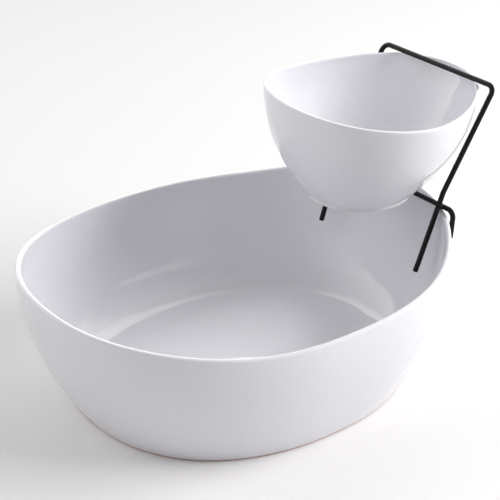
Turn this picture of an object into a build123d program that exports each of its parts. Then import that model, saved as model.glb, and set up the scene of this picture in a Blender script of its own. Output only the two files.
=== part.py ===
from build123d import *
import os
from math import cos, pi, radians, sin, sqrt, tan

os.makedirs("parts", exist_ok=True)

# Millimetres. +X runs along the chip bowl toward the rack, +Y across it, +Z up.
# The origin is the middle of the chip bowl's foot, on the table.

# Chip bowl: an oval whose rim sweeps up at both ends, higher at the rack
chip_half_length = 170.0
chip_half_width = 143.6
chip_foot_half_length = 134.8
chip_foot_half_width = 116.7
chip_squareness = 2.23
chip_taper = -0.04
chip_side_height = 100.5
chip_back_rise = 20.5
chip_front_rise = 9.0
chip_back_sweep = 8
chip_front_sweep = 3.5
chip_flare_power = 1.9
chip_flare_reach = 1.0
chip_rim_wall = 4.2
chip_floor_wall = 8.0
chip_floor_height = 9.0
chip_floor_radius = 45.0
chip_foot_height = 1.5
chip_foot_step = 1.0
chip_ring_width = 7.0
chip_ring_recess = 2.0

# Dip bowl: round at the foot, nearly round at the rim, which lies further back
dip_half_length = 82.4
dip_half_width = 84.0
dip_foot_radius = 42.0
dip_squareness = 2.11
dip_taper = -0.18
dip_rim_setback = 16.6
dip_side_height = 80.5
dip_back_rise = 5.0
dip_front_rise = 4.4
dip_back_sweep = 2
dip_front_sweep = 2
dip_flare_power = 2.5
dip_flare_reach = 0.8
dip_rim_wall = 3.5
dip_floor_wall = 6.0
dip_floor_height = 8.5
dip_floor_radius = 22.0
dip_foot_height = 3.5
dip_foot_step = 1.6
dip_ring_width = 5.0
dip_ring_recess = 1.5

# Wire rack: a back frame with two legs, and a bar whose ends hook over the rim
wire_diameter = 4.2
wire_end_radius = 0.6
leg_spacing = 120.0
leg_splay = 2.2
leg_drop = 51.4
leg_wall_gap = 17.0
knee_rise = 12.3
knee_bend_radius = 24.0
top_bend_radius = 6.5
hook_drop = 22.0
hook_lean = 5.0
hook_bend_radius = 6.0
weld_radius = 2.9
weld_lift = 1.0
weld_gap = 0.2

# How the pieces sit: the bar on the rim, the dip bowl on the bar and under the top bar
rim_clearance = 0.3
hook_clearance = 6.0
seat_clearance = 0.3
tuck_clearance = 0.4
cradle_clearance = 2.8
dip_forward = 35.4

# Fineness of the curves, and how far a cutting shape passes what it cuts
outline_points = 36
sweep_stations = 20
wall_levels = 12
overrun = 20.0
lip_share = 0.46
halving_steps = 40

round_squareness = 2.0
wire_radius = wire_diameter / 2
leg_y = leg_spacing / 2


def signed_power(value, power):
    return abs(value) ** power * (1 if value > 0 else -1)


class Bowl:
    """One fired bowl, with its foot on z = 0 and the middle of its foot at the origin."""

    def __init__(self, **sizes):
        self.__dict__.update(sizes)

    def level(self, height):
        return min((height - self.foot_height) / (self.side_height - self.foot_height), 1)

    def wall(self, height):
        return self.floor_wall + (self.rim_wall - self.floor_wall) * self.level(height)

    def opened(self, share):
        """How far the wall has opened out at a share of the flare's curve, which ends upright at 1."""
        return 1 - (1 - share) ** self.flare_power

    def section(self, height, inset):
        """Half length, half width, squareness, taper and middle of the oval at a height."""
        level = self.level(height)
        flare = self.opened(self.flare_reach * level) / self.opened(self.flare_reach)
        start_length = self.foot_half_length + self.foot_step
        start_width = self.foot_half_width + self.foot_step
        return (start_length + (self.half_length - start_length) * flare - inset,
                start_width + (self.half_width - start_width) * flare - inset,
                self.foot_squareness + (self.squareness - self.foot_squareness) * level,
                self.taper * level, self.rim_setback * level)

    def half_width_at(self, x, height, inset):
        half_length, half_width, squareness, taper, middle = self.section(height, inset)
        along = (x - middle) / half_length
        return half_width * (1 - abs(along) ** squareness) ** (1 / squareness) * (1 + taper * along)

    def back_at(self, y, height, inset):
        """How far the wall reaches toward +X, at y from the middle plane, found by halving."""
        half_length, half_width, squareness, taper, middle = self.section(height, inset)
        near, far = middle, middle + half_length
        for step in range(halving_steps):
            x = (near + far) / 2
            if self.half_width_at(x, height, inset) > y:
                near = x
            else:
                far = x
        return near

    def rim_height(self, x):
        along = (x - self.rim_setback) / self.half_length
        rise, power = (self.back_rise, self.back_sweep) if along > 0 else (self.front_rise, self.front_sweep)
        reach = min(abs(along), 1)
        return self.side_height + rise * reach**power * (power + 1 - power * reach)

    def rest_height(self, x, radius):
        """Least height of the axis of a round bar, laid across at x, that clears the rim by its radius."""
        offsets = [radius * (2 * step / sweep_stations - 1) for step in range(sweep_stations + 1)]
        return max(self.rim_height(x + offset) + sqrt(radius**2 - offset**2) for offset in offsets)

    def top(self):
        return self.side_height + max(self.back_rise, self.front_rise)

    def lofted(self, bottom, thickness_at):
        span = self.top() + overrun - bottom
        heights = [bottom + span * step / wall_levels for step in range(wall_levels + 1)]
        return Solid.make_loft([outline(*self.section(z, thickness_at(z)), z) for z in heights])

    def above_rim(self):
        reach = self.half_length + overrun
        stations = [self.rim_setback + reach * (2 * step / sweep_stations - 1)
                    for step in range(sweep_stations + 1)]
        crest = [(x, self.rim_height(x)) for x in stations]
        lid = self.top() + 2 * overrun
        frame = Polyline(crest[-1], (stations[-1], lid), (stations[0], lid), crest[0])
        face = Plane.XZ * make_face([Spline(*crest), frame])
        return extrude(face, self.half_width + overrun, both=True)

    def foot_disc(self, inset, height):
        face = Face(outline(self.foot_half_length - inset, self.foot_half_width - inset,
                            self.foot_squareness, 0, 0, 0))
        return extrude(face, height, dir=(0, 0, 1))

    def solid(self):
        hollow = self.lofted(self.floor_height, self.wall)
        hollow = hollow.fillet(self.floor_radius, hollow.faces().sort_by(Axis.Z)[0].edges())
        bowl = self.lofted(self.foot_height, lambda height: 0) - hollow - self.above_rim()
        bowl = fillet(bowl.faces().sort_by(Axis.Z)[-1].edges(), self.rim_wall * lip_share)
        bowl += self.foot_disc(0, self.foot_height)
        return bowl - self.foot_disc(self.ring_width, self.ring_recess)


def outline(half_length, half_width, squareness, taper, middle, height):
    """Closed oval at a height: squareness 2 is an ellipse, and taper changes its width toward +X."""
    points = []
    for step in range(outline_points):
        angle = 2 * pi * step / outline_points
        along = signed_power(cos(angle), 2 / squareness)
        across = signed_power(sin(angle), 2 / squareness) * (1 + taper * along)
        points.append((middle + half_length * along, half_width * across, height))
    return Wire([Edge.make_spline(points, periodic=True)])


def bent_wire(points, radii):
    """Round wire along straight runs joined by tangent bends, with the edges of its cut ends eased."""
    path = FilletPolyline(*points, radius=radii)
    wire = sweep(Plane(origin=path @ 0, z_dir=path % 0) * Circle(wire_radius), path)
    return fillet(wire.faces().filter_by(GeomType.PLANE).edges(), wire_end_radius)


chip = Bowl(half_length=chip_half_length, half_width=chip_half_width,
            foot_half_length=chip_foot_half_length, foot_half_width=chip_foot_half_width,
            squareness=chip_squareness, foot_squareness=chip_squareness, taper=chip_taper, rim_setback=0,
            side_height=chip_side_height, back_rise=chip_back_rise, front_rise=chip_front_rise,
            back_sweep=chip_back_sweep, front_sweep=chip_front_sweep,
            flare_power=chip_flare_power, flare_reach=chip_flare_reach,
            rim_wall=chip_rim_wall, floor_wall=chip_floor_wall,
            floor_height=chip_floor_height, floor_radius=chip_floor_radius, foot_height=chip_foot_height,
            foot_step=chip_foot_step, ring_width=chip_ring_width, ring_recess=chip_ring_recess)

dip = Bowl(half_length=dip_half_length, half_width=dip_half_width,
           foot_half_length=dip_foot_radius, foot_half_width=dip_foot_radius,
           squareness=dip_squareness, foot_squareness=round_squareness, taper=dip_taper,
           rim_setback=dip_rim_setback,
           side_height=dip_side_height, back_rise=dip_back_rise, front_rise=dip_front_rise,
           back_sweep=dip_back_sweep, front_sweep=dip_front_sweep,
           flare_power=dip_flare_power, flare_reach=dip_flare_reach,
           rim_wall=dip_rim_wall, floor_wall=dip_floor_wall,
           floor_height=dip_floor_height, floor_radius=dip_floor_radius, foot_height=dip_foot_height,
           foot_step=dip_foot_step, ring_width=dip_ring_width, ring_recess=dip_ring_recess)

# The bar lies across the rim where the rim passes the legs, and its hooks hang outside the wall
bar_x = chip.back_at(leg_y, chip_side_height, chip_rim_wall / 2)
bar_z = chip.rest_height(bar_x, wire_radius + rim_clearance)
hook_y = chip.half_width_at(bar_x, chip_side_height, 0) + wire_radius + hook_clearance


def leg_y_at(height):
    """How far a leg is from the middle plane: leg_spacing apart at the bar, and splayed upward."""
    return leg_y + (height - bar_z) * tan(radians(leg_splay))


# The legs pass inside the bar and run down along the chip bowl's inner wall
leg_end_z = bar_z - leg_drop
leg_end_x = chip.back_at(leg_y_at(leg_end_z), leg_end_z, chip.wall(leg_end_z)) - leg_wall_gap
leg_slope = (bar_x - leg_end_x) / leg_drop
leg_offset = (wire_diameter + weld_gap) * sqrt(1 + leg_slope**2)
leg_slope = (bar_x - leg_offset - leg_end_x) / leg_drop
knee_x = bar_x - leg_offset + knee_rise * leg_slope
knee_z = bar_z + knee_rise

# The dip bowl stands on the bar, the upper legs lean just behind it, and the top bar clears its rim
dip_x = bar_x - dip_forward
dip_z = bar_z + wire_radius + seat_clearance
top_z = dip_z + dip.top() + wire_radius + tuck_clearance


def upper_leg_slope():
    """Least lean at which the upper legs pass outside the dip bowl's wall."""
    slopes = []
    for step in range(2, wall_levels + 1):
        z = knee_z + (dip_z + dip.top() - knee_z) * step / wall_levels
        reach = dip.back_at(leg_y_at(z), z - dip_z, -wire_radius - cradle_clearance)
        slopes.append((dip_x + reach - knee_x) / (z - knee_z))
    return max(slopes)


top_x = knee_x + (top_z - knee_z) * upper_leg_slope()


def make_back_frame():
    side = [(leg_end_x, leg_end_z), (knee_x, knee_z), (top_x, top_z)]
    points = [(x, -leg_y_at(z), z) for x, z in side] + [(x, leg_y_at(z), z) for x, z in reversed(side)]
    return bent_wire(points, [knee_bend_radius, top_bend_radius, top_bend_radius, knee_bend_radius])


def make_hook_bar():
    side = [(bar_x - hook_drop * tan(radians(hook_lean)), bar_z - hook_drop), (bar_x, bar_z)]
    points = [(x, -hook_y, z) for x, z in side] + [(x, hook_y, z) for x, z in reversed(side)]
    return bent_wire(points, [hook_bend_radius, hook_bend_radius])


def make_frame_welds(back_frame, hook_bar):
    beads = []
    for side in (-1, 1):
        bead = Pos(bar_x - leg_offset / 2, side * leg_y, bar_z + weld_lift) * Sphere(weld_radius)
        beads += (bead - back_frame - hook_bar).solids()
    return Compound(children=beads)


back_frame = make_back_frame()
hook_bar = make_hook_bar()
pieces = {
    "chip_bowl": chip.solid(),
    "dip_bowl": Pos(dip_x, 0, dip_z) * dip.solid(),
    "back_frame": back_frame,
    "hook_bar": hook_bar,
    "frame_welds": make_frame_welds(back_frame, hook_bar),
}
for name, piece in pieces.items():
    export_step(piece, f"parts/{name}.step")
print(f"bar x {bar_x:.2f} z {bar_z:.2f}, hooks y {hook_y:.2f}, leg end x {leg_end_x:.2f} z {leg_end_z:.2f}")
print(f"knee x {knee_x:.2f} z {knee_z:.2f}, top bar x {top_x:.2f} z {top_z:.2f}")
print(f"dip foot x {dip_x:.2f} z {dip_z:.2f}, lower lean {leg_slope:.3f}, upper lean {upper_leg_slope():.3f}")
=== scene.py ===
import bpy
import math
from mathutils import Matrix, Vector


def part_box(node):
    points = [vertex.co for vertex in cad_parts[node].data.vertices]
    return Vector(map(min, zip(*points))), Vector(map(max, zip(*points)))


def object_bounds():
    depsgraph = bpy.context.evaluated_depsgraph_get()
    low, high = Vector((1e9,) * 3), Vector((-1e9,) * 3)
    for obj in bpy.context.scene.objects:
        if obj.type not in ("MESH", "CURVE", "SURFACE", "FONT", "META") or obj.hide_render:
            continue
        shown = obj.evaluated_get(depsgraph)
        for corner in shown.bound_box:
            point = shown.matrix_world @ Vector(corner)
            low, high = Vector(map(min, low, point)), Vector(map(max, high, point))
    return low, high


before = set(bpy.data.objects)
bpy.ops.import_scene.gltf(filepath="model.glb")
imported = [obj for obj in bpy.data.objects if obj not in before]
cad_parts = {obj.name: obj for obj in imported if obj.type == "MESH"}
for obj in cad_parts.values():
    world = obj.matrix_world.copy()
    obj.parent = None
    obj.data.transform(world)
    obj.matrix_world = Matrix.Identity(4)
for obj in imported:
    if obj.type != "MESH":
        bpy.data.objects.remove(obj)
cadLow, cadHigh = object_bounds()  # the CAD box, before anything is added
chipLow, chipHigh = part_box("chip_bowl")
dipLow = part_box("dip_bowl")[0]
bpy.ops.object.select_all(action="DESELECT")
bpy.context.scene.view_settings.view_transform = "Standard"
print("stage 1: frame loaded, nodes", sorted(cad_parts))


# small helpers for node trees

def addNode(tree, kind, place, **settings):
    node = tree.nodes.new(kind)
    node.location = place
    for key, value in settings.items():
        setattr(node, key, value)
    return node


def setInputs(node, values):
    for key, value in values.items():
        node.inputs[key].default_value = value


def feed(tree, value, socket):  # a link from another node, or a plain number or colour
    if isinstance(value, bpy.types.NodeSocket):
        tree.links.new(value, socket)
    else:
        socket.default_value = value


def newGroup(name, inputs, outputs):
    group = bpy.data.node_groups.new(name, "ShaderNodeTree")
    for label, kind in inputs.items():
        group.interface.new_socket(label, in_out="INPUT", socket_type=kind)
    for label, kind in outputs.items():
        group.interface.new_socket(label, in_out="OUTPUT", socket_type=kind)
    given = addNode(group, "NodeGroupInput", (-900, 0))
    made = addNode(group, "NodeGroupOutput", (700, 0))
    return group, given, made


def mathNode(tree, operation, place, first, second):
    node = addNode(tree, "ShaderNodeMath", place, operation=operation)
    feed(tree, first, node.inputs[0])
    feed(tree, second, node.inputs[1])
    return node.outputs["Value"]


def rangeNode(tree, place, value, limits, result):
    node = addNode(tree, "ShaderNodeMapRange", place, interpolation_type="SMOOTHSTEP")
    tree.links.new(value, node.inputs["Value"])
    setInputs(node, {"From Min": limits[0], "From Max": limits[1],
                     "To Min": result[0], "To Max": result[1]})
    return node.outputs["Result"]


def noiseNode(tree, place, vector, noise):
    node = addNode(tree, "ShaderNodeTexNoise", place)
    tree.links.new(vector, node.inputs["Vector"])
    setInputs(node, {"Scale": noise["scale"], "Detail": noise["detail"], "Roughness": noise["rough"]})
    return node.outputs["Fac"]


def mixValues(tree, place, mask, first, second):
    node = addNode(tree, "ShaderNodeMix", place, data_type="FLOAT")
    tree.links.new(mask, node.inputs["Factor"])
    feed(tree, first, node.inputs["A"])
    feed(tree, second, node.inputs["B"])
    return node.outputs["Result"]


def mixColours(tree, place, mask, first, second):
    node = addNode(tree, "ShaderNodeMix", place, data_type="RGBA")
    tree.links.new(mask, node.inputs["Factor"])
    for label, value in (("A", first), ("B", second)):
        socket = next(s for s in node.inputs if s.name == label and s.type == "RGBA")
        feed(tree, (*value, 1) if isinstance(value, tuple) else value, socket)
    return next(s for s in node.outputs if s.type == "RGBA")


# shared effects, built once and placed in each bowl's glaze

glazeSurface = {"drift": {"scale": 9, "detail": 2, "rough": 0.5},
                "cloud": {"scale": 34, "detail": 3, "rough": 0.55},
                "ripple": {"scale": 85, "detail": 1, "rough": 0.4},
                "peel": {"scale": 620, "detail": 1, "rough": 0.5},
                "spread": (0.3, 0.7), "peelShare": 0.12}


def makeGlazeSkin(look):  # slow drift in the glaze's shade, and the faint unevenness of a fired surface
    group, given, made = newGroup("glazeSkin", {"Place": "NodeSocketVector"},
                                  {"Shade": "NodeSocketFloat", "Gloss": "NodeSocketFloat",
                                   "Height": "NodeSocketFloat"})
    place = given.outputs["Place"]
    drift = noiseNode(group, (-600, 300), place, look["drift"])
    cloud = noiseNode(group, (-600, 80), place, look["cloud"])
    ripple = noiseNode(group, (-600, -140), place, look["ripple"])
    peel = noiseNode(group, (-600, -360), place, look["peel"])
    shade = rangeNode(group, (-300, 300), drift, look["spread"], (0, 1))
    gloss = rangeNode(group, (-300, 80), cloud, look["spread"], (0, 1))
    fine = mathNode(group, "MULTIPLY", (-300, -360), peel, look["peelShare"])
    group.links.new(shade, made.inputs["Shade"])
    group.links.new(gloss, made.inputs["Gloss"])
    group.links.new(mathNode(group, "ADD", (0, -200), ripple, fine), made.inputs["Height"])
    return group


footEdge = {"waves": {"scale": 60, "detail": 2, "rough": 0.5},
            "grain": {"scale": 1500, "detail": 3, "rough": 0.6},
            "softness": 0.0003}


def makeBareFoot(look):  # 1 on the unglazed foot, with the slightly wavering line where the glaze stops
    group, given, made = newGroup("bareFoot",
                                  {"Place": "NodeSocketVector", "Level": "NodeSocketFloat",
                                   "Band": "NodeSocketFloat", "Waver": "NodeSocketFloat"},
                                  {"Mask": "NodeSocketFloat", "Grain": "NodeSocketFloat"})
    place = given.outputs["Place"]
    split = addNode(group, "ShaderNodeSeparateXYZ", (-650, 250))
    group.links.new(place, split.inputs["Vector"])
    above = mathNode(group, "SUBTRACT", (-450, 250), split.outputs["Z"], given.outputs["Level"])
    waves = noiseNode(group, (-650, 50), place, look["waves"])
    centred = mathNode(group, "SUBTRACT", (-450, 50), waves, 0.5)
    shift = mathNode(group, "MULTIPLY", (-250, 50), centred, given.outputs["Waver"])
    edge = mathNode(group, "ADD", (-50, 150), given.outputs["Band"], shift)
    depth = mathNode(group, "SUBTRACT", (150, 250), edge, above)
    mask = rangeNode(group, (350, 250), depth, (0, look["softness"]), (0, 1))
    group.links.new(mask, made.inputs["Mask"])
    group.links.new(noiseNode(group, (-650, -200), place, look["grain"]), made.inputs["Grain"])
    return group


glazeSkin = makeGlazeSkin(glazeSurface)
bareFoot = makeBareFoot(footEdge)


def newMaterial(name):
    material = bpy.data.materials.new(name)
    material.use_nodes = True
    tree = material.node_tree
    tree.nodes.clear()
    shader = addNode(tree, "ShaderNodeBsdfPrincipled", (600, 0))
    finish = addNode(tree, "ShaderNodeOutputMaterial", (900, 0))
    tree.links.new(shader.outputs["BSDF"], finish.inputs["Surface"])
    place = addNode(tree, "ShaderNodeTexCoord", (-900, 0)).outputs["Object"]
    return material, tree, shader, place


def addBump(tree, shader, height, look):
    bump = addNode(tree, "ShaderNodeBump", (300, -250))
    setInputs(bump, {"Strength": look["bumpStrength"], "Distance": look["bumpDistance"]})
    tree.links.new(height, bump.inputs["Height"])
    tree.links.new(bump.outputs["Normal"], shader.inputs["Normal"])


def glazeMaterial(name, look):
    material, tree, shader, place = newMaterial(name)
    skin = addNode(tree, "ShaderNodeGroup", (-600, 200), node_tree=glazeSkin)
    foot = addNode(tree, "ShaderNodeGroup", (-600, -200), node_tree=bareFoot)
    tree.links.new(place, skin.inputs["Place"])
    tree.links.new(place, foot.inputs["Place"])
    setInputs(foot, {"Level": look["footLevel"], "Band": look["bareBand"], "Waver": look["waver"]})
    mask, grain = foot.outputs["Mask"], foot.outputs["Grain"]
    glaze = mixColours(tree, (-300, 350), skin.outputs["Shade"], look["white"], look["shade"])
    clay = mixColours(tree, (-300, 100), grain, look["clay"], look["clayDark"])
    tree.links.new(mixColours(tree, (0, 300), mask, glaze, clay), shader.inputs["Base Color"])
    gloss = rangeNode(tree, (-300, -150), skin.outputs["Gloss"], (0, 1), look["roughness"])
    rough = mixValues(tree, (0, 0), mask, gloss, look["clayRoughness"])
    tree.links.new(rough, shader.inputs["Roughness"])
    addBump(tree, shader, mixValues(tree, (0, -250), mask, skin.outputs["Height"], grain), look)
    shader.inputs["IOR"].default_value = look["ior"]
    return material


def dressNode(node, material):
    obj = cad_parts[node]
    obj.data.materials.clear()
    obj.data.materials.append(material)


# both bowls have the same glaze over the same clay
whiteGlaze = {"white": (0.815, 0.81, 0.85), "shade": (0.79, 0.785, 0.825), "roughness": (0.02, 0.05),
              "clay": (0.68, 0.45, 0.34), "clayDark": (0.44, 0.26, 0.18), "clayRoughness": 0.9,
              "bumpStrength": 0.25, "bumpDistance": 0.0002, "ior": 1.55}

chipBowl = {**whiteGlaze, "footLevel": chipLow.z, "bareBand": 0.0015, "waver": 0.0006}
dressNode("chip_bowl", glazeMaterial("chipBowlGlaze", chipBowl))

dipBowl = {**whiteGlaze, "footLevel": dipLow.z, "bareBand": 0.00025, "waver": 0.0001}
dressNode("dip_bowl", glazeMaterial("dipBowlGlaze", dipBowl))
print("stage 2: bowls glazed")


rackWire = {"black": (0.005, 0.005, 0.0055), "worn": (0.011, 0.0105, 0.0105), "wornFrom": (0.35, 0.75),
            "roughness": (0.34, 0.46), "roughFrom": (0.3, 0.7), "specular": 0.15,
            "cloud": {"scale": 70, "detail": 4, "rough": 0.6},
            "peel": {"scale": 900, "detail": 2, "rough": 0.5},
            "bumpStrength": 0.35, "bumpDistance": 0.0001}


def coatMaterial(name, look):  # satin black coating, baked on, with its fine orange peel
    material, tree, shader, place = newMaterial(name)
    cloud = noiseNode(tree, (-600, 200), place, look["cloud"])
    peel = noiseNode(tree, (-600, -200), place, look["peel"])
    patch = rangeNode(tree, (-300, 300), cloud, look["wornFrom"], (0, 1))
    coat = mixColours(tree, (0, 300), patch, look["black"], look["worn"])
    satin = rangeNode(tree, (0, 0), cloud, look["roughFrom"], look["roughness"])
    tree.links.new(coat, shader.inputs["Base Color"])
    tree.links.new(satin, shader.inputs["Roughness"])
    addBump(tree, shader, peel, look)
    shader.inputs["Specular IOR Level"].default_value = look["specular"]
    return material


wireCoat = coatMaterial("rackWireCoat", rackWire)
for node in ("back_frame", "hook_bar", "frame_welds"):
    dressNode(node, wireCoat)
print("stage 3: rack coated")


# lift is what the camera sees added to the floor: a little near the bowl, most past the lamps
floorLook = {"size": 14.0, "colour": (0.875, 0.862, 0.86), "roughness": 0.9, "specular": 0.1,
             "lift": (0.04, 0.76), "fade": (1.2, 2.8)}


def makeFloor(look):  # pale sweep under the bowl, which takes its shadow
    bpy.ops.mesh.primitive_plane_add(size=look["size"], location=(0, 0, cadLow.z))
    floor = bpy.context.object
    floor.name = "floor"
    material, tree, shader, place = newMaterial("floorPaper")
    setInputs(shader, {"Base Color": (*look["colour"], 1), "Roughness": look["roughness"],
                       "Specular IOR Level": look["specular"], "Emission Color": (1, 1, 1, 1)})
    rays = addNode(tree, "ShaderNodeLightPath", (0, 300)).outputs
    seen = mathNode(tree, "MAXIMUM", (200, 300), rays["Is Camera Ray"], rays["Is Glossy Ray"])
    away = addNode(tree, "ShaderNodeVectorMath", (-600, 500), operation="LENGTH")
    tree.links.new(place, away.inputs[0])
    pale = rangeNode(tree, (-300, 500), away.outputs["Value"], look["fade"], look["lift"])
    glow = mathNode(tree, "MULTIPLY", (400, 300), seen, pale)
    tree.links.new(glow, shader.inputs["Emission Strength"])
    floor.data.materials.append(material)


makeFloor(floorLook)


# the walls are what reflections see: darker overhead, and brighter behind the bowl than in front
worldLook = {"ambient": (1.0, 0.995, 0.99), "strength": 0.243, "backdrop": 0.9,
             "walls": 2.0, "brightSide": (0.61, 0.79, 0), "lean": 0.7}


def makeWorld(look):  # soft light from all round, and a pale backdrop for the camera
    world = bpy.data.worlds.new("studio")
    world.use_nodes = True
    bpy.context.scene.world = world
    tree = world.node_tree
    sky = tree.nodes["Background"]
    rays = addNode(tree, "ShaderNodeLightPath", (-1000, 200)).outputs
    mirrored = mathNode(tree, "MAXIMUM", (-600, 200), rays["Is Glossy Ray"], rays["Is Transmission Ray"])
    facing = addNode(tree, "ShaderNodeTexCoord", (-1200, -100)).outputs["Generated"]
    split = addNode(tree, "ShaderNodeSeparateXYZ", (-1000, -100))
    tree.links.new(facing, split.inputs["Vector"])
    steep = mathNode(tree, "MULTIPLY", (-800, -100), split.outputs["Z"], split.outputs["Z"])
    level = mathNode(tree, "SUBTRACT", (-600, -100), 1, steep)
    toward = addNode(tree, "ShaderNodeVectorMath", (-1000, -300), operation="DOT_PRODUCT")
    tree.links.new(facing, toward.inputs[0])
    toward.inputs[1].default_value = look["brightSide"]
    lean = mathNode(tree, "MULTIPLY", (-800, -300), toward.outputs["Value"], look["lean"])
    side = mathNode(tree, "ADD", (-600, -300), lean, 1)
    lit = mathNode(tree, "MULTIPLY", (-400, -200), level, side)
    walls = mathNode(tree, "MULTIPLY", (-300, -100), lit, look["walls"])
    strength = mixValues(tree, (-200, 100), mirrored, look["strength"], walls)
    shown = mixValues(tree, (0, 100), rays["Is Camera Ray"], strength, look["backdrop"])
    tree.links.new(shown, sky.inputs["Strength"])
    sky.inputs["Color"].default_value = (*look["ambient"], 1)


makeWorld(worldLook)


# only the box behind shows in the glaze, as the thin arc round the bowl's inside floor
lampLook = {
    "keyBox": {"place": (1.282, -1.02, 1.207), "size": (1.6, 0.9), "watts": 40.5, "mirrored": False},
    "leftBox": {"place": (-1.299, 0.998, 1.207), "size": (2.0, 2.0), "watts": 17.4, "mirrored": False},
    "backBox": {"place": (0.861, 1.121, 1.474), "size": (2.0, 1.2), "watts": 8.9, "mirrored": True},
}


def makeLamp(name, look, target):
    data = bpy.data.lights.new(name, "AREA")
    data.shape = "RECTANGLE"
    data.size, data.size_y = look["size"]
    data.energy = look["watts"]
    lamp = bpy.data.objects.new(name, data)
    bpy.context.scene.collection.objects.link(lamp)
    lamp.location = look["place"]
    lamp.visible_glossy = look["mirrored"]
    lamp.rotation_euler = (target - lamp.location).to_track_quat("-Z", "Y").to_euler()


aim = Vector((0, 0, chipHigh.z / 2))
for name, look in lampLook.items():
    makeLamp(name, look, aim)
print("stage 4: floor, world and lamps set")


photoView = {"place": (-0.62613, -0.8285, 0.64205), "azimuth": -37.5378, "elevation": 27.3314,
             "lens": 110.117, "sensor": 36, "clip": (0.01, 50)}


def makeCamera(look):
    camera = bpy.data.objects.new("photoCamera", bpy.data.cameras.new("photoCamera"))
    bpy.context.scene.collection.objects.link(camera)
    camera.data.sensor_width = look["sensor"]
    camera.data.lens = look["lens"]
    camera.data.clip_start, camera.data.clip_end = look["clip"]
    camera.location = look["place"]
    turn, rise = math.radians(look["azimuth"]), math.radians(look["elevation"])
    level = math.cos(rise)
    back = Vector((math.sin(turn) * level, -math.cos(turn) * level, math.sin(rise)))
    camera.rotation_euler = (-back).to_track_quat("-Z", "Y").to_euler()
    bpy.context.scene.camera = camera


makeCamera(photoView)
print("stage 5: camera set")
